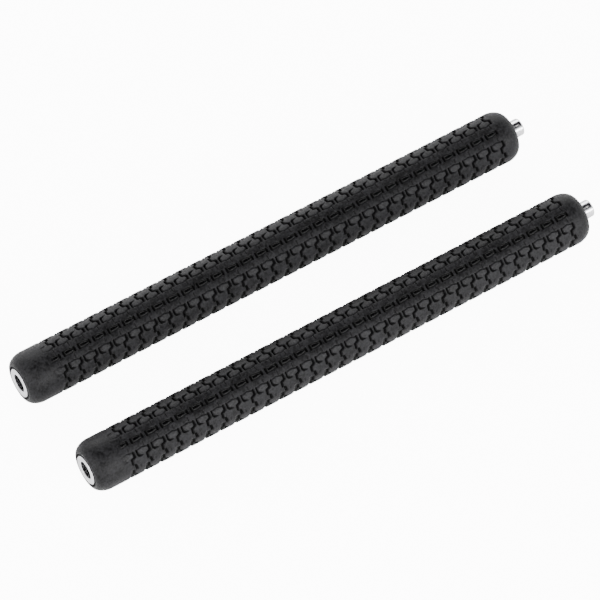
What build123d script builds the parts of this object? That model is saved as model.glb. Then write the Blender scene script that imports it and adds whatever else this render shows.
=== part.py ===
from build123d import *
from math import cos, radians, sin
import os

# A pair of focus training sticks lying side by side on the ground, in mm, +Z up.
# Each stick is a treaded rubber sleeve on a metal tube, with a keyed socket at its -X end and
# a sprung stud at its +X end, so that the sticks also plug together end to end.

# Driving dimensions
sleeve_diameter = 50.0
sleeve_length = 528.5
stud_reach = 13.0               # how far the stud stands out of the rubber
stick_spacing = 113.5           # from one stick's axis to the other's
key_angle = 21.0                # turn of the four tracks and slots about the axis, degrees
key_count = 4

# Rubber sleeve
dome_length = 13.5              # from the end face to the full diameter
dome_mouth_radius = 17.0        # where the flat end turns into the dome
mouth_diameter = 30.7           # hole in each end face, around the metal
mouth_depth = 2.5

# Metal core
tube_diameter = 28.0
tube_wall = 1.5
face_proud = 0.5                # how far each metal end face stands out of the rubber
face_edge = 0.4                 # broken outer edge of both metal faces

# Socket end
bore_diameter = 17.0
bore_lead = 0.6                 # lead-in chamfer of the socket
bore_bottom = 12.5
socket_end = 20.0
track_width = 3.0               # bright tracks that the stud's leaves grip, level with the bore
track_end = 11.0
track_back_radius = 9.6
buffer_thickness = 3.0
buffer_diameter = 15.0          # sits in a pocket of its own below the bore
buffer_edge = 0.5

# Stud end
stud_diameter = 16.6
shank_diameter = 15.0           # the part of the stud that sits in the hub, below its shoulder
stud_bore = 13.4
stud_depth = 10.5               # how deep the stud sits in the hub
stud_tip_edge = 1.6
stud_crown = 2.2                # thickness of the closed tip
slot_length = 8.0
slot_width = 1.7
slot_start = 1.8                # from the rubber's end face to the slot
hub_length = 19.0
leaf_width = 1.3
leaf_thickness = 0.4
leaf_crown_radius = 8.52
leaf_foot_radius = 6.6          # outside of the cage's two rings
leaf_margin = 0.9               # from the slot's end to where the leaf starts to bow
cage_start = 1.0                # from the rubber's end face to the cage's first ring, inwards
cage_gap = 0.2                  # between the cage's second ring and the closed tip
cage_ring_length = 1.5

# Cross pins
pin_diameter = 3.0
pin_bore = 1.6
socket_pin_place = 17.75        # from the rubber's near end
hub_pin_place = 5.5             # back from the rubber's far end

# Values that follow
sleeve_radius = sleeve_diameter / 2
tube_bore = tube_diameter - 2 * tube_wall
tube_start = mouth_depth
tube_end = sleeve_length - mouth_depth
face_near = -face_proud
face_far = sleeve_length + face_proud
stud_tip = sleeve_length + stud_reach
stud_foot = sleeve_length - stud_depth
slot_near = sleeve_length + slot_start
slot_far = slot_near + slot_length
slot_middle = (slot_near + slot_far) / 2
leaf_near = slot_near + leaf_margin
leaf_far = slot_far - leaf_margin
leaf_inner_radius = leaf_foot_radius - leaf_thickness
cage_near = sleeve_length - cage_start
cage_far = stud_tip - stud_crown - cage_gap
hub_pin_x = sleeve_length - hub_pin_place
key_angles = [key_angle + 360 / key_count * number for number in range(key_count)]


def key_plane(angle):
    # Plane square to one key: x runs along the stick and z points straight out from its axis
    outward = Vector(0, -sin(radians(angle)), cos(radians(angle)))
    return Plane(origin=(0, 0, 0), x_dir=(1, 0, 0), z_dir=outward)


def leaf_plane(angle):
    # Lengthwise plane through one key: x runs along the stick and y straight out from its axis
    outward = Vector(0, -sin(radians(angle)), cos(radians(angle)))
    return Plane(origin=(0, 0, 0), x_dir=(1, 0, 0), z_dir=Vector(1, 0, 0).cross(outward))


# Sleeve: one moulding with domed ends and a hole right through
with BuildPart() as sleeve:
    with BuildSketch(Plane.XZ):
        with BuildLine():
            Line((0, mouth_diameter / 2), (0, dome_mouth_radius))
            EllipticalCenterArc(
                (dome_length, dome_mouth_radius),
                dome_length,
                sleeve_radius - dome_mouth_radius,
                start_angle=180,
                arc_size=-90,
            )
            Line((dome_length, sleeve_radius), (sleeve_length - dome_length, sleeve_radius))
            EllipticalCenterArc(
                (sleeve_length - dome_length, dome_mouth_radius),
                dome_length,
                sleeve_radius - dome_mouth_radius,
                start_angle=90,
                arc_size=-90,
            )
            Polyline(
                (sleeve_length, dome_mouth_radius),
                (sleeve_length, mouth_diameter / 2),
                (tube_end, mouth_diameter / 2),
                (tube_end, tube_diameter / 2),
                (tube_start, tube_diameter / 2),
                (tube_start, mouth_diameter / 2),
                (0, mouth_diameter / 2),
            )
        make_face()
    revolve(axis=Axis.X)

# Core tube: carries the sleeve and holds both end fittings
with BuildPart() as core_tube:
    with BuildSketch(Plane.YZ.offset(tube_start)):
        Circle(tube_diameter / 2)
        Circle(tube_bore / 2, mode=Mode.SUBTRACT)
    extrude(amount=tube_end - tube_start)
    with BuildSketch(Plane.XY):
        with Locations((socket_pin_place, 0), (hub_pin_x, 0)):
            Circle(pin_diameter / 2)
    extrude(amount=tube_diameter, both=True, mode=Mode.SUBTRACT)

# End ring: polished face of the socket
with BuildPart() as end_ring:
    with BuildSketch(Plane.YZ.offset(face_near)):
        Circle(tube_diameter / 2)
        Circle(bore_diameter / 2, mode=Mode.SUBTRACT)
    extrude(amount=tube_start - face_near)
    front_edges = edges().filter_by(GeomType.CIRCLE).group_by(Axis.X)[0].sort_by(SortBy.RADIUS)
    chamfer(front_edges[0], bore_lead)
    chamfer(front_edges[-1], face_edge)

# Four tracks run down the bore from the end ring and are one piece with it
with BuildPart() as track_blank:
    with BuildSketch(Plane.YZ.offset(tube_start)):
        with PolarLocations(track_back_radius / 2, key_count, start_angle=key_angle):
            Rectangle(track_back_radius, track_width)
        Circle(track_back_radius, mode=Mode.INTERSECT)
        Circle(bore_diameter / 2, mode=Mode.SUBTRACT)
    extrude(amount=track_end - tube_start)

with BuildPart() as keyed_ring:
    add(end_ring.part)
    add(track_blank.part)

# Socket insert: blind bore behind the ring, fluted for the tracks, pocketed for the buffer and
# crossed by a pin
with BuildPart() as socket_insert:
    with BuildSketch(Plane.YZ.offset(tube_start)):
        Circle(tube_bore / 2)
    extrude(amount=socket_end - tube_start)
    with BuildSketch(Plane.YZ.offset(tube_start)):
        Circle(bore_diameter / 2)
    extrude(amount=bore_bottom - tube_start, mode=Mode.SUBTRACT)
    with BuildSketch(Plane.YZ.offset(bore_bottom)):
        Circle(buffer_diameter / 2)
    extrude(amount=buffer_thickness, mode=Mode.SUBTRACT)
    add(track_blank.part, mode=Mode.SUBTRACT)
    with BuildSketch(Plane.XY):
        with Locations((socket_pin_place, 0)):
            Circle(pin_diameter / 2)
    extrude(amount=tube_diameter, both=True, mode=Mode.SUBTRACT)

# Buffer: soft disc below the bore, level with its bottom, which the other stick's stud meets
with BuildPart() as buffer:
    with BuildSketch(Plane.YZ.offset(bore_bottom)):
        Circle(buffer_diameter / 2)
    extrude(amount=buffer_thickness)
    rim = edges().filter_by(GeomType.CIRCLE).group_by(Axis.X)[0]
    chamfer(rim, buffer_edge)

# Hub: plug in the tube's other end, with a flange that matches the end ring
with BuildPart() as hub:
    with BuildSketch(Plane.YZ.offset(face_far - hub_length)):
        Circle(tube_bore / 2)
    extrude(amount=hub_length)
    with BuildSketch(Plane.YZ.offset(tube_end)):
        Circle(tube_diameter / 2)
    extrude(amount=face_far - tube_end)
    flange_edge = edges().filter_by(GeomType.CIRCLE).group_by(Axis.X)[-1]
    chamfer(flange_edge, face_edge)
    with BuildSketch(Plane.YZ.offset(stud_foot)):
        Circle(shank_diameter / 2)
    extrude(amount=face_far - stud_foot, mode=Mode.SUBTRACT)
    with BuildSketch(Plane.XY):
        with Locations((hub_pin_x, 0)):
            Circle(pin_diameter / 2)
    extrude(amount=tube_diameter, both=True, mode=Mode.SUBTRACT)

# Stud: hollow pin with a shouldered shank, a closed tip and four lengthwise slots
with BuildPart() as stud:
    with BuildSketch(Plane.YZ.offset(stud_foot)):
        Circle(shank_diameter / 2)
    extrude(amount=face_far - stud_foot)
    with BuildSketch(Plane.YZ.offset(face_far)):
        Circle(stud_diameter / 2)
    extrude(amount=stud_tip - face_far)
    tip_edge = edges().filter_by(GeomType.CIRCLE).group_by(Axis.X)[-1]
    fillet(tip_edge, stud_tip_edge)
    with BuildSketch(Plane.YZ.offset(stud_foot)):
        Circle(stud_bore / 2)
    extrude(amount=stud_tip - stud_crown - stud_foot, mode=Mode.SUBTRACT)
    for angle in key_angles:
        with BuildSketch(key_plane(angle)):
            with Locations((slot_middle, 0)):
                SlotOverall(slot_length, slot_width)
        extrude(amount=stud_diameter, mode=Mode.SUBTRACT)
    with BuildSketch(Plane.XY):
        with Locations((hub_pin_x, 0)):
            Circle(pin_diameter / 2)
    extrude(amount=tube_diameter, both=True, mode=Mode.SUBTRACT)

# Spring cage: two rings joined by four bowed leaves, whose crowns stand out of the slots
with BuildPart() as spring_cage:
    for ring_start in (cage_near, cage_far - cage_ring_length):
        with BuildSketch(Plane.YZ.offset(ring_start)):
            Circle(leaf_foot_radius)
            Circle(leaf_inner_radius, mode=Mode.SUBTRACT)
        extrude(amount=cage_ring_length)
    for angle in key_angles:
        with BuildSketch(leaf_plane(angle)):
            with BuildLine():
                Line((cage_near, leaf_foot_radius), (leaf_near, leaf_foot_radius))
                ThreePointArc(
                    (leaf_near, leaf_foot_radius),
                    (slot_middle, leaf_crown_radius),
                    (leaf_far, leaf_foot_radius),
                )
                Polyline(
                    (leaf_far, leaf_foot_radius),
                    (cage_far, leaf_foot_radius),
                    (cage_far, leaf_inner_radius),
                    (leaf_far, leaf_inner_radius),
                )
                ThreePointArc(
                    (leaf_far, leaf_inner_radius),
                    (slot_middle, leaf_crown_radius - leaf_thickness),
                    (leaf_near, leaf_inner_radius),
                )
                Polyline(
                    (leaf_near, leaf_inner_radius),
                    (cage_near, leaf_inner_radius),
                    (cage_near, leaf_foot_radius),
                )
            make_face()
        extrude(amount=leaf_width / 2, both=True)
    with BuildSketch(Plane.YZ.offset(cage_near)):
        Circle(leaf_crown_radius)
    extrude(amount=cage_far - cage_near, mode=Mode.INTERSECT)

# Cross pins: rolled spring pins that lock each end fitting in the tube
with BuildPart() as socket_pin:
    with BuildSketch(Plane.XY):
        with Locations((socket_pin_place, 0)):
            Circle(pin_diameter / 2)
            Circle(pin_bore / 2, mode=Mode.SUBTRACT)
    extrude(amount=tube_bore / 2, both=True)

with BuildPart() as hub_pin:
    with BuildSketch(Plane.XY):
        with Locations((hub_pin_x, 0)):
            Circle(pin_diameter / 2)
            Circle(pin_bore / 2, mode=Mode.SUBTRACT)
    extrude(amount=tube_bore / 2, both=True)

# Both sticks are the same, turned the same way and level end to end
stick_pieces = {
    "sleeve": sleeve.part,
    "core_tube": core_tube.part,
    "end_ring": keyed_ring.part,
    "socket_insert": socket_insert.part,
    "buffer": buffer.part,
    "hub": hub.part,
    "stud": stud.part,
    "spring_cage": spring_cage.part,
    "socket_pin": socket_pin.part,
    "hub_pin": hub_pin.part,
}
stick_places = {"front": -stick_spacing / 2, "rear": stick_spacing / 2}
middle = (face_near + stud_tip) / 2

os.makedirs("parts", exist_ok=True)
for stick, place in stick_places.items():
    for piece, solid in stick_pieces.items():
        with BuildPart() as placed:
            with Locations((-middle, place, sleeve_radius)):
                add(solid)
        placed.part.label = f"{stick}_{piece}"
        export_step(placed.part, f"parts/{stick}_{piece}.step")
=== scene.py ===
import math

import bpy
import numpy as np
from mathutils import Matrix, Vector


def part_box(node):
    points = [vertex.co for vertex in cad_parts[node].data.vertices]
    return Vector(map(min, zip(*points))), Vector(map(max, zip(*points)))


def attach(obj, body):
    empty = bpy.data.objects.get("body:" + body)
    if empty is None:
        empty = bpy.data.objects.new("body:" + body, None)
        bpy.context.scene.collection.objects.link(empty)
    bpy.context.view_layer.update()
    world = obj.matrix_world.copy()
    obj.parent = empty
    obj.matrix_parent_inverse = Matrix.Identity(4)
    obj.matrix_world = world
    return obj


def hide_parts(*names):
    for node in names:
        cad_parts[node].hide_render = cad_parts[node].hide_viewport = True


print("loading the frame")
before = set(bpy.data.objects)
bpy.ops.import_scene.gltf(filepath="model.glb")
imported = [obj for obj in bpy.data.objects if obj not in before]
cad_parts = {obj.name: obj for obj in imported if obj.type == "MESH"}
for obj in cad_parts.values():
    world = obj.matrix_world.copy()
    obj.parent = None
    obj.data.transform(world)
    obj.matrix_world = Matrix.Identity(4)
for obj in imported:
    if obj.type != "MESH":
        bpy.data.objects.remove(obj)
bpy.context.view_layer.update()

mm = 0.001
white = (1.0, 1.0, 1.0, 1.0)
sticks = {"front": "front_stick", "rear": "rear_stick"}
studLow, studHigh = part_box("front_stud")
axisSide = -(studLow.y + studHigh.y) / 2      # each stick's axis is this far from the middle
axisHeight = (studLow.z + studHigh.z) / 2

# ---- camera, floor and light come first

cameraSettings = {
    "aim": (-9.4 * mm, -1.6 * mm, 25.0 * mm),
    "away": (-0.3269, -0.5047, 0.7990),     # from the aim towards the camera
    "distance": 5.0,
    "lens": 332.0,
    "sensor": 36.0,
    "farthest": 20.0,
}
floorSettings = {
    "size": 14.0,
    "colour": (0.93, 0.93, 0.93, 1.0),
    "roughness": 0.6,
    "specular": 0.2,
    "glow": 0.64,           # what the floor adds to the light on the sticks
    "paleness": 11.0,       # how white it looks directly
}
roomSettings = {
    "walls": (0.85, 0.85, 0.87, 1.0),
    "ceiling": (0.004, 0.004, 0.006, 1.0),
    "start": 0.50,          # height at which the walls begin to darken into the ceiling
    "end": 0.83,
    "strength": 2.0,
    "paleness": 11.0,
}
lampSettings = {
    # place, width, height, power, in metres and watts
    "backSoftbox": ((0.5, 2.2, 1.5), 2.6, 1.2, 42.0),
    "frontSoftbox": ((0.6, -2.4, 0.95), 2.6, 0.8, 69.0),
    "endSoftbox": ((-2.2, -0.7, 1.3), 1.4, 1.2, 40.0),
}


def newMaterial(name):
    material = bpy.data.materials.new(name)
    material.use_nodes = True
    material.node_tree.nodes.clear()
    return material


def addNode(tree, kind, inputs=None, **settings):
    # a socket among the inputs is linked, and anything else is set as a value
    node = tree.nodes.new(kind)
    for setting, value in settings.items():
        setattr(node, setting, value)
    for socket, value in (inputs or {}).items():
        if isinstance(value, bpy.types.NodeSocket):
            tree.links.new(value, node.inputs[socket])
        else:
            node.inputs[socket].default_value = value
    return node


def calc(tree, operation, first, second=0.0, clamp=False):
    inputs = {0: first, 1: second}
    node = addNode(tree, "ShaderNodeMath", inputs, operation=operation, use_clamp=clamp)
    return node.outputs[0]


def mixColour(tree, factor, first, second):
    inputs = {"Factor": factor, "A": first, "B": second}
    return addNode(tree, "ShaderNodeMix", inputs, data_type="RGBA").outputs["Result"]


def mixValue(tree, factor, first, second):
    inputs = {"Factor": factor, "A": first, "B": second}
    return addNode(tree, "ShaderNodeMix", inputs, data_type="FLOAT").outputs["Result"]


def mapRange(tree, value, source, target=(0.0, 1.0)):
    inputs = {"Value": value, "From Min": source[0], "From Max": source[1]}
    inputs.update({"To Min": target[0], "To Max": target[1]})
    return addNode(tree, "ShaderNodeMapRange", inputs).outputs["Result"]


def addShader(tree, inputs):
    shader = addNode(tree, "ShaderNodeBsdfPrincipled", inputs)
    addNode(tree, "ShaderNodeOutputMaterial", {"Surface": shader.outputs[0]})


def makeCamera():
    s = cameraSettings
    data = bpy.data.cameras.new("camera")
    data.lens = s["lens"]
    data.sensor_width = s["sensor"]
    data.clip_end = s["farthest"]
    camera = bpy.data.objects.new("camera", data)
    away = Vector(s["away"]).normalized()
    camera.location = Vector(s["aim"]) + away * s["distance"]
    camera.rotation_euler = away.to_track_quat("Z", "Y").to_euler()
    bpy.context.collection.objects.link(camera)
    bpy.context.scene.camera = camera


def makeFloor():
    s = floorSettings
    bpy.ops.mesh.primitive_plane_add(size=s["size"])
    floor = bpy.context.object
    floor.name = "floor"
    material = newMaterial("paleFloor")
    tree = material.node_tree
    seen = addNode(tree, "ShaderNodeLightPath").outputs["Is Camera Ray"]
    addShader(tree, {
        "Base Color": s["colour"],
        "Roughness": s["roughness"],
        "Specular IOR Level": s["specular"],
        "Emission Color": white,
        "Emission Strength": mapRange(tree, seen, (0.0, 1.0), (s["glow"], s["paleness"])),
    })
    floor.data.materials.append(material)


def makeRoom():
    # pale walls under a dark ceiling light the sticks, and plain white is seen behind them
    s = roomSettings
    world = bpy.data.worlds.new("softRoom")
    bpy.context.scene.world = world
    world.use_nodes = True
    tree = world.node_tree
    tree.nodes.clear()
    around = addNode(tree, "ShaderNodeTexCoord").outputs["Generated"]
    split = addNode(tree, "ShaderNodeSeparateXYZ", {0: around})
    ramp = addNode(tree, "ShaderNodeMapRange", {
        "Value": split.outputs["Z"], "From Min": s["start"], "From Max": s["end"],
    }, interpolation_type="SMOOTHSTEP")
    tone = mixColour(tree, ramp.outputs["Result"], s["walls"], s["ceiling"])
    room = addNode(tree, "ShaderNodeBackground", {"Color": tone, "Strength": s["strength"]})
    pale = addNode(tree, "ShaderNodeBackground", {"Color": white, "Strength": s["paleness"]})
    seen = addNode(tree, "ShaderNodeLightPath").outputs["Is Camera Ray"]
    inputs = {0: seen, 1: room.outputs[0], 2: pale.outputs[0]}
    both = addNode(tree, "ShaderNodeMixShader", inputs)
    addNode(tree, "ShaderNodeOutputWorld", {"Surface": both.outputs[0]})


def makeLamps():
    for name, (place, width, height, power) in lampSettings.items():
        data = bpy.data.lights.new(name, "AREA")
        data.shape = "RECTANGLE"
        data.size = width
        data.size_y = height
        data.energy = power
        lamp = bpy.data.objects.new(name, data)
        lamp.location = place
        lamp.rotation_euler = Vector(place).to_track_quat("Z", "Y").to_euler()
        bpy.context.collection.objects.link(lamp)


makeCamera()
makeFloor()
makeRoom()
makeLamps()
print("camera, floor and light are in")

# ---- effects that several finishes share

effectSettings = {
    # each noise has its detail and roughness, and what of it is stretched to the full range
    "pores": (4.0, 0.6, (0.3, 0.7)),
    "clouds": (6.0, 0.62, (0.33, 0.67)),
    "wornPatches": (4.0, 0.6, (0.38, 0.62)),
    "dustDrifts": (5.0, 0.6, (0.4, 0.7)),
    "dustSpecks": (2.0, 0.5, (0.55, 0.75)),
    "speckScale": 2600.0,
    "flatCorner": 0.5,          # Pointiness of a flat face
    "dustyFacing": (0.1, 0.9),  # how far a face has to look up to hold dust
    "ringDetail": 3.0,
    "ringRange": (0.3, 0.7),
    "streakDetail": 4.0,
    "streakRange": (0.35, 0.65),
    "streakStretch": 0.12,
}


def newGroup(name, inputs, outputs):
    tree = bpy.data.node_groups.new(name, "ShaderNodeTree")
    for socket, value in inputs.items():
        made = tree.interface.new_socket(socket, in_out="INPUT", socket_type="NodeSocketFloat")
        made.default_value = value
    for socket in outputs:
        tree.interface.new_socket(socket, in_out="OUTPUT", socket_type="NodeSocketFloat")
    given = tree.nodes.new("NodeGroupInput").outputs
    end = tree.nodes.new("NodeGroupOutput").inputs
    return tree, given, end


def effect(tree, group, inputs):
    node = addNode(tree, "ShaderNodeGroup", None, node_tree=group)
    for socket, value in inputs.items():
        node.inputs[socket].default_value = value
    return node.outputs


def objectPlace(tree):
    return addNode(tree, "ShaderNodeTexCoord").outputs["Object"]


def noise(tree, scale, kind):
    # a named noise at a scale, stretched to run from 0 to 1
    detail, roughness, source = effectSettings[kind]
    inputs = {"Vector": objectPlace(tree), "Scale": scale, "Detail": detail, "Roughness": roughness}
    made = addNode(tree, "ShaderNodeTexNoise", inputs)
    return mapRange(tree, made.outputs["Fac"], source)


def lineNoise(tree, run, detail, source):
    inputs = {"W": run, "Scale": 1.0, "Detail": detail}
    made = addNode(tree, "ShaderNodeTexNoise", inputs, noise_dimensions="1D")
    return mapRange(tree, made.outputs["Fac"], source)


def makeGrain():
    # fine pores, and slower clouds of light and dark
    inputs = {"Pore Scale": 1400.0, "Cloud Scale": 90.0}
    tree, given, end = newGroup("surfaceGrain", inputs, ("Pores", "Clouds"))
    tree.links.new(noise(tree, given["Pore Scale"], "pores"), end["Pores"])
    tree.links.new(noise(tree, given["Cloud Scale"], "clouds"), end["Clouds"])
    return tree


def makeEdgeWear():
    # corners that rubbing has reached, broken up so that they aren't a plain line
    tree, given, end = newGroup("edgeWear", {"Reach": 0.06, "Patch Scale": 260.0}, ("Wear",))
    corner = addNode(tree, "ShaderNodeNewGeometry").outputs["Pointiness"]
    corner = calc(tree, "SUBTRACT", corner, effectSettings["flatCorner"])
    lift = calc(tree, "DIVIDE", corner, given["Reach"], clamp=True)
    patches = noise(tree, given["Patch Scale"], "wornPatches")
    tree.links.new(calc(tree, "MULTIPLY", lift, patches), end["Wear"])
    return tree


def makeDust():
    # dust settles on what faces up, thinly and in drifts
    s = effectSettings
    tree, given, end = newGroup("settledDust", {"Amount": 0.3, "Drift Scale": 40.0}, ("Dust",))
    facing = addNode(tree, "ShaderNodeNewGeometry").outputs["Normal"]
    upward = addNode(tree, "ShaderNodeSeparateXYZ", {0: facing}).outputs["Z"]
    drifts = noise(tree, given["Drift Scale"], "dustDrifts")
    specks = noise(tree, s["speckScale"], "dustSpecks")
    lying = calc(tree, "ADD", drifts, specks)
    lying = calc(tree, "MULTIPLY", mapRange(tree, upward, s["dustyFacing"]), lying)
    dust = calc(tree, "MULTIPLY", lying, given["Amount"], clamp=True)
    tree.links.new(dust, end["Dust"])
    return tree


def stickAxes(tree):
    # place along a stick, and how far out from its own axis sideways and upwards
    split = addNode(tree, "ShaderNodeSeparateXYZ", {0: objectPlace(tree)}).outputs
    axis = calc(tree, "MULTIPLY", calc(tree, "SIGN", split["Y"]), axisSide)
    side = calc(tree, "SUBTRACT", split["Y"], axis)
    rise = calc(tree, "SUBTRACT", split["Z"], axisHeight)
    return split["X"], side, rise


def makeTurningMarks():
    # rings left by the lathe, round each stick's own axis
    s = effectSettings
    inputs = {"Ring Scale": 5200.0, "Length Scale": 5200.0}
    tree, given, end = newGroup("turningMarks", inputs, ("Rings", "Streaks"))
    along, side, rise = stickAxes(tree)
    out = calc(tree, "MULTIPLY", side, side)
    out = calc(tree, "SQRT", calc(tree, "ADD", out, calc(tree, "MULTIPLY", rise, rise)))
    out = calc(tree, "MULTIPLY", out, given["Ring Scale"])
    run = calc(tree, "ADD", out, calc(tree, "MULTIPLY", along, given["Length Scale"]))
    rings = lineNoise(tree, run, s["ringDetail"], s["ringRange"])
    slow = calc(tree, "MULTIPLY", run, s["streakStretch"])
    streaks = lineNoise(tree, slow, s["streakDetail"], s["streakRange"])
    tree.links.new(rings, end["Rings"])
    tree.links.new(streaks, end["Streaks"])
    return tree


grainGroup = makeGrain()
wearGroup = makeEdgeWear()
dustGroup = makeDust()
turningGroup = makeTurningMarks()
print("shared effects are made")

# ---- treaded rubber sleeve

sleeveSettings = {
    # all in millimetres; lengths run from the socket end of the rubber
    "radius": 25.0,
    "boreRadius": 14.0,
    "mouthRadius": 16.1,
    "mouthDepth": 2.5,
    "lip": 0.55,
    "domeRadius": 17.0,
    "domeLength": 13.5,
    "domeShape": 1.8,
    "domeRings": 22,
    "firstTail": 35.0,
    "tails": 31,
    "lastTail": 23.0,         # back from the stud end
    "columns": 32,            # in one repeat
    "steps": 344,             # round the sleeve
    "clearOfDome": 0.4,       # from a dome to the first column
    "mirrorTurn": 21.0,       # degrees from +Z towards -Y
    "padRaise": 0.09,
    "padEdge": 0.5,           # how far a pad's edge slopes
    "wall": 0.55,             # how far a groove's wall slopes
    "wallFoot": 0.1,
    "spread": 0.3,            # added to every groove's width
    "nearFade": (22.0, 42.0),
    "farFade": (16.0, 18.4),
    "padFade": 1.5,           # pads fade in this much sooner than grooves
    "moulding": 0.03,         # depth of the slow waves that moulding leaves
    "waves": (23.0, 9.1),
    "edge": 0.1,              # the outside starts this far out from the mouth
    "crestEdge": 0.01,
    "rimGain": 1.5,
    "paintedShadeDepth": 1.2,         # painted shade: a groove is painted full black from this depth
    # painted shade in the side hollows: how far round from the mirror line it starts, and its run,
    # in mm
    "paintedHollowShade": (31.0, 3.0),
}

# Grooves of one repeat. Along the stick they are measured from the tail groove, and round it from
# the mirror line, both in mm at the crest. Each has its line, its widths and its depth.
grooves = [
    # lens on the mirror line
    ([(-8.5, 0.0), (-8.5, 2.2)], (2.1, 1.7), 1.7),
    ([(2.8, 0.0), (2.8, 1.7)], (2.2, 1.7), 1.7),
    ([(-8.2, 2.1), (-3.2, 2.4), (2.4, 1.4)], (1.0, 0.8, 1.0), 0.8),
    ([(-7.8, 3.9), (-3.6, 3.7)], (1.9, 1.3), 0.4),
    # between the lens and the leaf
    ([(0.2, 4.7), (0.2, 8.0)], (0.8, 0.6), 0.7),
    ([(-4.7, 5.2), (-4.7, 7.2)], (1.3, 1.1), 0.5),
    # leaf
    ([(-8.45, 9.9), (-8.45, 14.2)], (1.2, 1.5), 1.7),
    ([(-8.4, 14.2), (-7.2, 15.8), (-3.7, 16.4)], (1.6, 1.6, 0.3), 1.7),
    ([(3.7, 10.3), (3.8, 14.6)], (1.7, 2.1), 1.9),
    ([(3.7, 14.8), (0.4, 16.4)], (1.8, 1.8), 1.8),
    ([(-8.3, 9.9), (-2.4, 8.7), (3.3, 10.4)], (0.5, 0.6, 0.9), 0.7),
    # tail, and the thin cut that joins it to the next row
    ([(0.3, 16.2), (0.3, 21.0)], (1.9, 1.8), 1.8),
    ([(0.5, 21.0), (2.4, 22.6)], (0.9, 0.8), 0.8),
    # open row
    ([(2.7, 22.9), (3.6, 27.2)], (2.1, 2.4), 1.9),
    ([(3.2, 27.6), (0.4, 28.2)], (0.8, 0.8), 0.7),
    ([(-8.2, 24.6), (-8.2, 26.8)], (1.6, 1.4), 0.35),
    ([(0.1, 28.2), (0.0, 33.0)], (2.0, 1.9), 1.8),
    ([(0.2, 33.0), (2.3, 35.4)], (1.0, 0.9), 0.8),
    ([(2.7, 35.8), (3.3, 39.3)], (2.1, 2.3), 1.9),
]
# Soft hollow along each side, on the same lines
sideHollow = {"middle": -2.0, "half": 2.3, "start": 25.0, "run": 4.0, "depth": 1.4}
# Smooth pads: along, then the edge nearer the mirror line and the edge further from it
leafPad = ((-7.9, -2.4, 3.0), (10.3, 9.1, 10.8), (14.8, 16.4, 14.0))
lensPad = ((-7.6, -3.0, 1.9), (-2.9, -3.1, -2.2), (2.9, 3.1, 2.2))
# Where the columns of a repeat crowd together, over what reach and how closely
columnFocus = {"middles": (-8.5, 0.2, 3.5), "reach": 1.8, "crowding": 1.7, "samples": 400}


def smooth(value):
    value = np.clip(value, 0.0, 1.0)
    return value * value * (3.0 - 2.0 * value)


def foldTurn(turn):
    # distance round from the nearest mirror line, which stands on both broad sides
    offset = np.mod(turn - math.radians(sleeveSettings["mirrorTurn"]), math.pi)
    return np.minimum(offset, math.pi - offset) * sleeveSettings["radius"]


def inRepeat(along, middle, pitch):
    return np.mod(along - middle + pitch / 2, pitch) - pitch / 2 + middle


def grooveDepth(along, around, pitch):
    s = sleeveSettings
    depth = np.zeros(np.broadcast(along, around).shape)
    for line, widths, deep in grooves:
        here = inRepeat(along, (line[0][0] + line[-1][0]) / 2, pitch)
        for (a, b), (wa, wb) in zip(zip(line, line[1:]), zip(widths, widths[1:])):
            du, dv = b[0] - a[0], b[1] - a[1]
            t = ((here - a[0]) * du + (around - a[1]) * dv) / (du * du + dv * dv)
            t = np.clip(t, 0.0, 1.0)
            away = np.hypot(here - a[0] - t * du, around - a[1] - t * dv)
            half = (wa + (wb - wa) * t + s["spread"]) / 2
            slope = np.minimum(s["wall"], half)
            fall = smooth((half + slope / 2 - away) / (slope + s["wallFoot"]))
            depth = np.maximum(depth, deep * fall)
    return depth


def hollowDepth(along, around, pitch):
    s = sideHollow
    here = inRepeat(along, s["middle"], pitch) - s["middle"]
    across = smooth((around - s["start"]) / s["run"])
    return s["depth"] * smooth(1.0 - np.abs(here) / s["half"]) * across


def padMask(shape, along, around, pitch):
    places, inner, outer = shape
    here = inRepeat(along, (places[0] + places[-1]) / 2, pitch)
    near = around - np.interp(here, places, inner)
    far = np.interp(here, places, outer) - around
    ends = np.minimum(here - places[0], places[-1] - here)
    inside = np.minimum(np.minimum(near, far), ends)
    return smooth(inside / sleeveSettings["padEdge"] + 0.5)


def repeatColumns(pitch):
    # places of the columns in one repeat, closer together across the grooves
    s = columnFocus
    fine = np.linspace(0.0, pitch, s["samples"], endpoint=False)
    density = np.ones(fine.shape)
    for middle in s["middles"]:
        off = np.abs(inRepeat(fine, middle, pitch) - middle)
        density += s["crowding"] * smooth(s["reach"] - off)
    total = np.concatenate([[0.0], np.cumsum(density)])
    count = sleeveSettings["columns"]
    return np.interp(np.arange(count) / count * total[-1], total, np.append(fine, pitch))


def endRings():
    # each ring of one end: its place along the stick, and its radius
    s = sleeveSettings
    rings = [(s["mouthDepth"], s["boreRadius"]), (s["mouthDepth"], s["mouthRadius"])]
    rings.append((s["lip"], s["mouthRadius"]))
    for turn in (math.radians(30), math.radians(60), math.radians(90)):
        inward, outward = s["lip"] * (1 - math.sin(turn)), s["lip"] * (1 - math.cos(turn))
        rings.append((inward, s["mouthRadius"] + outward))
    rise = s["radius"] - s["padRaise"] - s["domeRadius"]
    for step in range(s["domeRings"] + 1):
        part = step / s["domeRings"]
        place = s["domeLength"] * (1 - math.cos(part * math.pi / 2))
        lift = 1 - (1 - place / s["domeLength"]) ** s["domeShape"]
        rings.append((place, s["domeRadius"] + rise * lift ** (1 / s["domeShape"])))
    return rings


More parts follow.
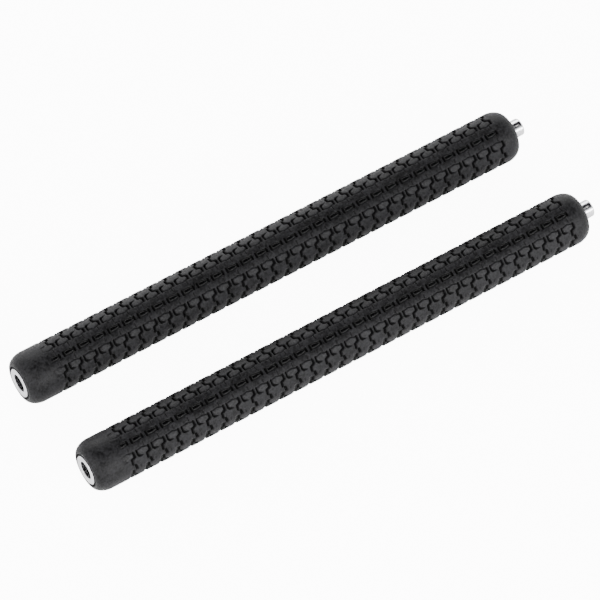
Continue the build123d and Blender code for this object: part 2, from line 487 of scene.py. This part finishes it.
def sleeveProfile(length, pitch):
    # once round the sleeve's wall: near end, outside, far end and back through the bore
    s = sleeveSettings
    ends = endRings()
    places = repeatColumns(pitch)[None, :] + pitch * np.arange(-2, s["tails"] + 1)[:, None]
    places = places.ravel() + s["firstTail"]
    clear = s["domeLength"] + s["clearOfDome"]
    places = places[(places > clear) & (places < length - clear)]
    profile = ends + [(place, s["radius"] - s["padRaise"]) for place in places]
    profile += [(length - place, radius) for place, radius in reversed(ends)]
    profile += [(length * part, s["boreRadius"]) for part in (0.75, 0.5, 0.25)]
    return np.array(profile)


def gridMesh(name, points):
    # points are rings of steps; both ways round the grid closes on itself
    rings, steps = points.shape[:2]
    ring = np.arange(rings)[:, None]
    step = np.arange(steps)[None, :]
    nextRing = (ring + 1) % rings
    nextStep = (step + 1) % steps
    corners = [ring * steps + step, nextRing * steps + step]
    corners += [nextRing * steps + nextStep, ring * steps + nextStep]
    faces = np.stack(np.broadcast_arrays(*corners), -1).reshape(-1, 4)
    mesh = bpy.data.meshes.new(name)
    mesh.vertices.add(rings * steps)
    mesh.vertices.foreach_set("co", points.ravel())
    mesh.loops.add(faces.size)
    mesh.loops.foreach_set("vertex_index", faces.ravel().astype(np.int32))
    mesh.polygons.add(len(faces))
    mesh.polygons.foreach_set("loop_start", np.arange(0, faces.size, 4, dtype=np.int32))
    mesh.update(calc_edges=True)
    mesh.validate()
    mesh.shade_smooth()
    return mesh


def treadFade(along, radius, length):
    # the tread runs out towards both ends, and is nowhere but on the outside
    s = sleeveSettings
    nearStart, nearEnd = s["nearFade"]
    farStart, farEnd = s["farFade"]
    fade = smooth((along - nearStart) / (nearEnd - nearStart))
    fade = fade * smooth((length - along - farStart) / (farEnd - farStart))
    return np.where(radius > s["radius"] - s["padRaise"] - s["crestEdge"], fade, 0.0)


def treadSurface(length, pitch):
    # the radius everywhere on the sleeve, and the masks that its rubber uses
    s = sleeveSettings
    profile = sleeveProfile(length, pitch)
    along, radius = profile[:, :1], profile[:, 1:]
    turn = np.linspace(0.0, 2 * math.pi, s["steps"], endpoint=False)[None, :]
    around = foldTurn(turn)
    repeat = along - s["firstTail"]
    fade = treadFade(along, radius, length)
    cut = grooveDepth(repeat, around, pitch) * fade
    hollow = hollowDepth(repeat, around, pitch) * fade
    pad = padMask(leafPad, repeat, around, pitch) * smooth(fade * s["padFade"])
    lens = padMask(lensPad, repeat, around, pitch) * smooth(fade * s["padFade"])
    longWave, shortWave = s["waves"]
    wander = np.sin(along / longWave + 2 * turn) * np.sin(along / shortWave - 3 * turn)
    outer = np.where(radius > s["mouthRadius"] + s["edge"], 1.0, 0.0)
    surface = radius - np.maximum(cut, hollow) + pad * s["padRaise"]
    surface = surface + (wander * s["moulding"] - s["moulding"]) * outer
    rim = np.abs(np.gradient(cut, axis=0)) + np.abs(np.gradient(cut, axis=1))
    rim = np.clip(rim * s["rimGain"], 0.0, 1.0) * (1.0 - np.clip(cut, 0.0, 1.0))
    # painted shade: grooves darken with their depth, and the side hollows darken furthest round
    # from the mirror lines
    darkStart, darkRun = s["paintedHollowShade"]
    shade = hollow * smooth((around - darkStart) / darkRun)
    dark = np.clip(np.maximum(cut / s["paintedShadeDepth"], shade), 0.0, 1.0)
    return along, turn, surface, {"pad": pad, "lens": lens, "paintedShade": dark, "rim": rim}


def makeSleeve(stick, body):
    s = sleeveSettings
    low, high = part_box(stick + "_sleeve")
    length = (high.x - low.x) / mm
    pitch = (length - s["lastTail"] - s["firstTail"]) / (s["tails"] - 1)
    along, turn, surface, masks = treadSurface(length, pitch)
    x = np.broadcast_to(along, surface.shape) * mm + low.x
    y = (low.y + high.y) / 2 - surface * np.sin(turn) * mm
    z = (low.z + high.z) / 2 + surface * np.cos(turn) * mm
    mesh = gridMesh(stick + "Tread", np.stack([x, y, z], -1))
    for name, values in masks.items():
        layer = mesh.attributes.new(name, "FLOAT", "POINT")
        layer.data.foreach_set("value", np.ascontiguousarray(values, dtype=np.float32).ravel())
    piece = bpy.data.objects.new(stick + "TreadSleeve", mesh)
    bpy.context.collection.objects.link(piece)
    piece.data.materials.append(treadRubber)
    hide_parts(stick + "_sleeve")
    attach(piece, body)
    print(stick, "sleeve:", len(mesh.polygons), "faces, pitch", round(pitch, 2))


rubberSettings = {
    "dark": (0.0001, 0.0001, 0.0002, 1.0),
    "light": (0.0158, 0.0156, 0.0172, 1.0),
    # painted shade: the near black put into the grooves, the side hollows and the lens pads
    "paintedShade": (0.0002, 0.0002, 0.0002, 1.0),
    "rim": (0.0055, 0.0055, 0.006, 1.0),     # crests rubbed grey
    "rimAmount": 0.7,
    "bloom": (0.018, 0.018, 0.019, 1.0),     # pale flecks in the moulding
    "bloomStart": 0.93,
    "bloomAmount": 0.5,
    "dust": (0.022, 0.021, 0.020, 1.0),
    "fineGrain": {"Pore Scale": 1500.0, "Cloud Scale": 230.0},
    "coarseGrain": {"Pore Scale": 480.0, "Cloud Scale": 34.0},
    "wear": {"Reach": 0.05, "Patch Scale": 120.0},
    "dusting": {"Amount": 0.10, "Drift Scale": 45.0},
    "mottle": (0.28, 0.72),                  # what of the clouds runs from dark to light
    "roughness": (0.34, 0.54),               # least and most, from cloud to cloud
    "roughMottle": (0.2, 0.8),
    "padRoughness": 0.40,
    "lensRoughness": 0.22,
    "grooveRoughness": 0.95,
    "specular": 0.19,
    "coarsePores": 0.6,                      # their depth against the fine ones
    "poreDepth": 0.14 * mm,
    "poreStrength": 0.8,
}


def attribute(tree, name):
    return addNode(tree, "ShaderNodeAttribute", attribute_name=name).outputs["Fac"]


def addBump(tree, height, strength, distance):
    inputs = {"Height": height, "Strength": strength, "Distance": distance}
    return addNode(tree, "ShaderNodeBump", inputs).outputs["Normal"]


def average(tree, first, second):
    return calc(tree, "MULTIPLY", calc(tree, "ADD", first, second), 0.5)


def makeTreadRubber():
    s = rubberSettings
    material = newMaterial("treadRubber")
    tree = material.node_tree
    paintedShade, lens = attribute(tree, "paintedShade"), attribute(tree, "lens")
    grain = effect(tree, grainGroup, s["fineGrain"])
    patches = effect(tree, grainGroup, s["coarseGrain"])
    worn = effect(tree, wearGroup, s["wear"])["Wear"]
    dust = effect(tree, dustGroup, s["dusting"])["Dust"]
    clouds = average(tree, grain["Clouds"], patches["Clouds"])
    mottle = mapRange(tree, average(tree, clouds, patches["Pores"]), s["mottle"])
    colour = mixColour(tree, mottle, s["dark"], s["light"])
    flecks = calc(tree, "GREATER_THAN", patches["Pores"], s["bloomStart"])
    flecks = calc(tree, "MULTIPLY", flecks, s["bloomAmount"])
    colour = mixColour(tree, flecks, colour, s["bloom"])
    colour = mixColour(tree, dust, colour, s["dust"])
    rubbed = calc(tree, "MAXIMUM", attribute(tree, "rim"), worn)
    rubbed = calc(tree, "MULTIPLY", rubbed, clouds)
    colour = mixColour(tree, calc(tree, "MULTIPLY", rubbed, s["rimAmount"]), colour, s["rim"])
    # painted shade: grooves and side hollows are painted near black by depth, and the lens pads on
    # the mirror lines are painted as dark as them, a painted dark reflection
    colour = mixColour(tree, paintedShade, colour, s["paintedShade"])
    colour = mixColour(tree, lens, colour, s["paintedShade"])
    rough = mapRange(tree, mottle, s["roughMottle"], s["roughness"])
    rough = mixValue(tree, attribute(tree, "pad"), rough, s["padRoughness"])
    rough = mixValue(tree, lens, rough, s["lensRoughness"])
    rough = mixValue(tree, paintedShade, rough, s["grooveRoughness"])
    coarse = calc(tree, "MULTIPLY", patches["Pores"], s["coarsePores"])
    height = calc(tree, "ADD", grain["Pores"], coarse)
    addShader(tree, {
        "Base Color": colour,
        "Roughness": rough,
        "Normal": addBump(tree, height, s["poreStrength"], s["poreDepth"]),
        "Specular IOR Level": s["specular"],
    })
    return material


treadRubber = makeTreadRubber()
for stick, body in sticks.items():
    makeSleeve(stick, body)

# ---- metal and the small pieces inside

metalFinishes = {
    # tone, tone in the clouds and where worn, roughness least and most, depth of the marks in mm
    "polishedSteel": {
        "tone": (0.93, 0.93, 0.94, 1.0),
        "shade": (0.80, 0.80, 0.82, 1.0),
        "worn": (0.97, 0.97, 0.97, 1.0),
        "roughness": (0.12, 0.26),
        "marks": 0.004, "ringScale": 5200.0, "lengthScale": 5200.0,
        "cloudScale": 140.0, "dust": 0.02,
    },
    "satinSteel": {
        "tone": (0.62, 0.62, 0.64, 1.0),
        "shade": (0.48, 0.48, 0.50, 1.0),
        "worn": (0.80, 0.80, 0.80, 1.0),
        "roughness": (0.24, 0.40),
        "marks": 0.012, "ringScale": 3400.0, "lengthScale": 3400.0,
        "cloudScale": 110.0, "dust": 0.05,
    },
    "blackenedSteel": {
        "tone": (0.030, 0.030, 0.033, 1.0),
        "shade": (0.014, 0.014, 0.016, 1.0),
        # where worn, and also the colour of the painted reflection strips down the bore
        "worn": (0.45, 0.45, 0.46, 1.0),
        "roughness": (0.28, 0.46),
        "marks": 0.010, "ringScale": 3000.0, "lengthScale": 3000.0,
        "cloudScale": 160.0, "dust": 0.04,
        "tracks": (1.1 * mm, 1.5 * mm),      # half width of the painted reflection strips down the bore, and where they end
    },
    "springSteel": {
        "tone": (0.74, 0.73, 0.71, 1.0),
        "shade": (0.56, 0.55, 0.55, 1.0),
        "worn": (0.86, 0.86, 0.85, 1.0),
        "roughness": (0.34, 0.50),
        "marks": 0.004, "ringScale": 2400.0, "lengthScale": 2400.0,
        "cloudScale": 220.0, "dust": 0.02,
    },
    "drawnTube": {
        "tone": (0.52, 0.52, 0.53, 1.0),
        "shade": (0.38, 0.38, 0.40, 1.0),
        "worn": (0.70, 0.70, 0.70, 1.0),
        "roughness": (0.30, 0.46),
        "marks": 0.006, "ringScale": 5000.0, "lengthScale": 0.0,
        "cloudScale": 60.0, "dust": 0.03,
    },
}
metalSettings = {
    # what every metal shares
    "poreScale": 2400.0,
    "poreAmount": 0.5,
    "wear": {"Reach": 0.09, "Patch Scale": 420.0},
    "driftScale": 90.0,
    "dust": (0.30, 0.29, 0.27, 1.0),
    "dustRoughness": 0.6,
    "roughClouds": (0.15, 0.85),
    "markStrength": 0.5,
}
bufferSettings = {
    "dark": (0.010, 0.010, 0.011, 1.0),
    "light": (0.022, 0.022, 0.023, 1.0),
    "worn": (0.05, 0.05, 0.05, 1.0),
    "grain": {"Pore Scale": 1800.0, "Cloud Scale": 300.0},
    "wear": {"Reach": 0.06, "Patch Scale": 300.0},
    "dusting": {"Amount": 0.15, "Drift Scale": 120.0},
    "clouds": (0.1, 0.9),
    "roughness": (0.55, 0.75),
    "specular": 0.4,
    "poreStrength": 0.5,
    "poreDepth": 0.08 * mm,
}
nodeFinishes = {
    "end_ring": "polishedSteel",
    "stud": "polishedSteel",
    "hub": "satinSteel",
    "socket_insert": "blackenedSteel",
    "spring_cage": "springSteel",
    "socket_pin": "springSteel",
    "hub_pin": "springSteel",
    "core_tube": "drawnTube",
    "buffer": "softBuffer",
}


def paintedBoreStreaks(tree, widths):
    # painted reflection: lighter strips down the socket bore, in line with the ring's tracks, stand
    # in for a bright streak on the bore wall
    _, side, rise = stickAxes(tree)
    angle = math.radians(sleeveSettings["mirrorTurn"])
    offsets = []
    for across, up in (
        (math.cos(angle), math.sin(angle)),
        (-math.sin(angle), math.cos(angle)),
    ):
        across = calc(tree, "MULTIPLY", side, across)
        offset = calc(tree, "ADD", across, calc(tree, "MULTIPLY", rise, up))
        offsets.append(calc(tree, "ABSOLUTE", offset))
    nearest = calc(tree, "MINIMUM", *offsets)
    return mapRange(tree, nearest, widths, (1.0, 0.0))


def makeMetal(name, s):
    shared = metalSettings
    material = newMaterial(name)
    tree = material.node_tree
    scales = {"Ring Scale": s["ringScale"], "Length Scale": s["lengthScale"]}
    marks = effect(tree, turningGroup, scales)
    scales = {"Pore Scale": shared["poreScale"], "Cloud Scale": s["cloudScale"]}
    grain = effect(tree, grainGroup, scales)
    worn = effect(tree, wearGroup, shared["wear"])["Wear"]
    dusting = {"Amount": s["dust"], "Drift Scale": shared["driftScale"]}
    dust = effect(tree, dustGroup, dusting)["Dust"]
    clouds = average(tree, grain["Clouds"], marks["Streaks"])
    # painted reflection: on the socket the lighter strips join the edge wear and take its colour
    if "tracks" in s:
        tracks = calc(tree, "MULTIPLY", paintedBoreStreaks(tree, s["tracks"]), marks["Streaks"])
        worn = calc(tree, "MAXIMUM", worn, tracks)
    colour = mixColour(tree, clouds, s["tone"], s["shade"])
    colour = mixColour(tree, worn, colour, s["worn"])
    colour = mixColour(tree, dust, colour, shared["dust"])
    rough = mapRange(tree, clouds, shared["roughClouds"], s["roughness"])
    rough = calc(tree, "ADD", rough, calc(tree, "MULTIPLY", dust, shared["dustRoughness"]))
    pores = calc(tree, "MULTIPLY", grain["Pores"], shared["poreAmount"])
    height = calc(tree, "ADD", marks["Rings"], pores)
    addShader(tree, {
        "Base Color": colour,
        "Metallic": 1.0,
        "Roughness": rough,
        "Normal": addBump(tree, height, shared["markStrength"], s["marks"] * mm),
    })
    return material


def makeSoftBuffer():
    s = bufferSettings
    material = newMaterial("softBuffer")
    tree = material.node_tree
    grain = effect(tree, grainGroup, s["grain"])
    dust = effect(tree, dustGroup, s["dusting"])["Dust"]
    worn = effect(tree, wearGroup, s["wear"])["Wear"]
    colour = mixColour(tree, grain["Clouds"], s["dark"], s["light"])
    colour = mixColour(tree, worn, colour, s["worn"])
    colour = mixColour(tree, dust, colour, rubberSettings["dust"])
    addShader(tree, {
        "Base Color": colour,
        "Roughness": mapRange(tree, grain["Clouds"], s["clouds"], s["roughness"]),
        "Normal": addBump(tree, grain["Pores"], s["poreStrength"], s["poreDepth"]),
        "Specular IOR Level": s["specular"],
    })
    return material


finishes = {name: makeMetal(name, settings) for name, settings in metalFinishes.items()}
finishes["softBuffer"] = makeSoftBuffer()
for stick in sticks:
    for node, finish in nodeFinishes.items():
        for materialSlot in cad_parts[stick + "_" + node].material_slots:
            materialSlot.material = finishes[finish]
print("metal and inner pieces have their finishes")
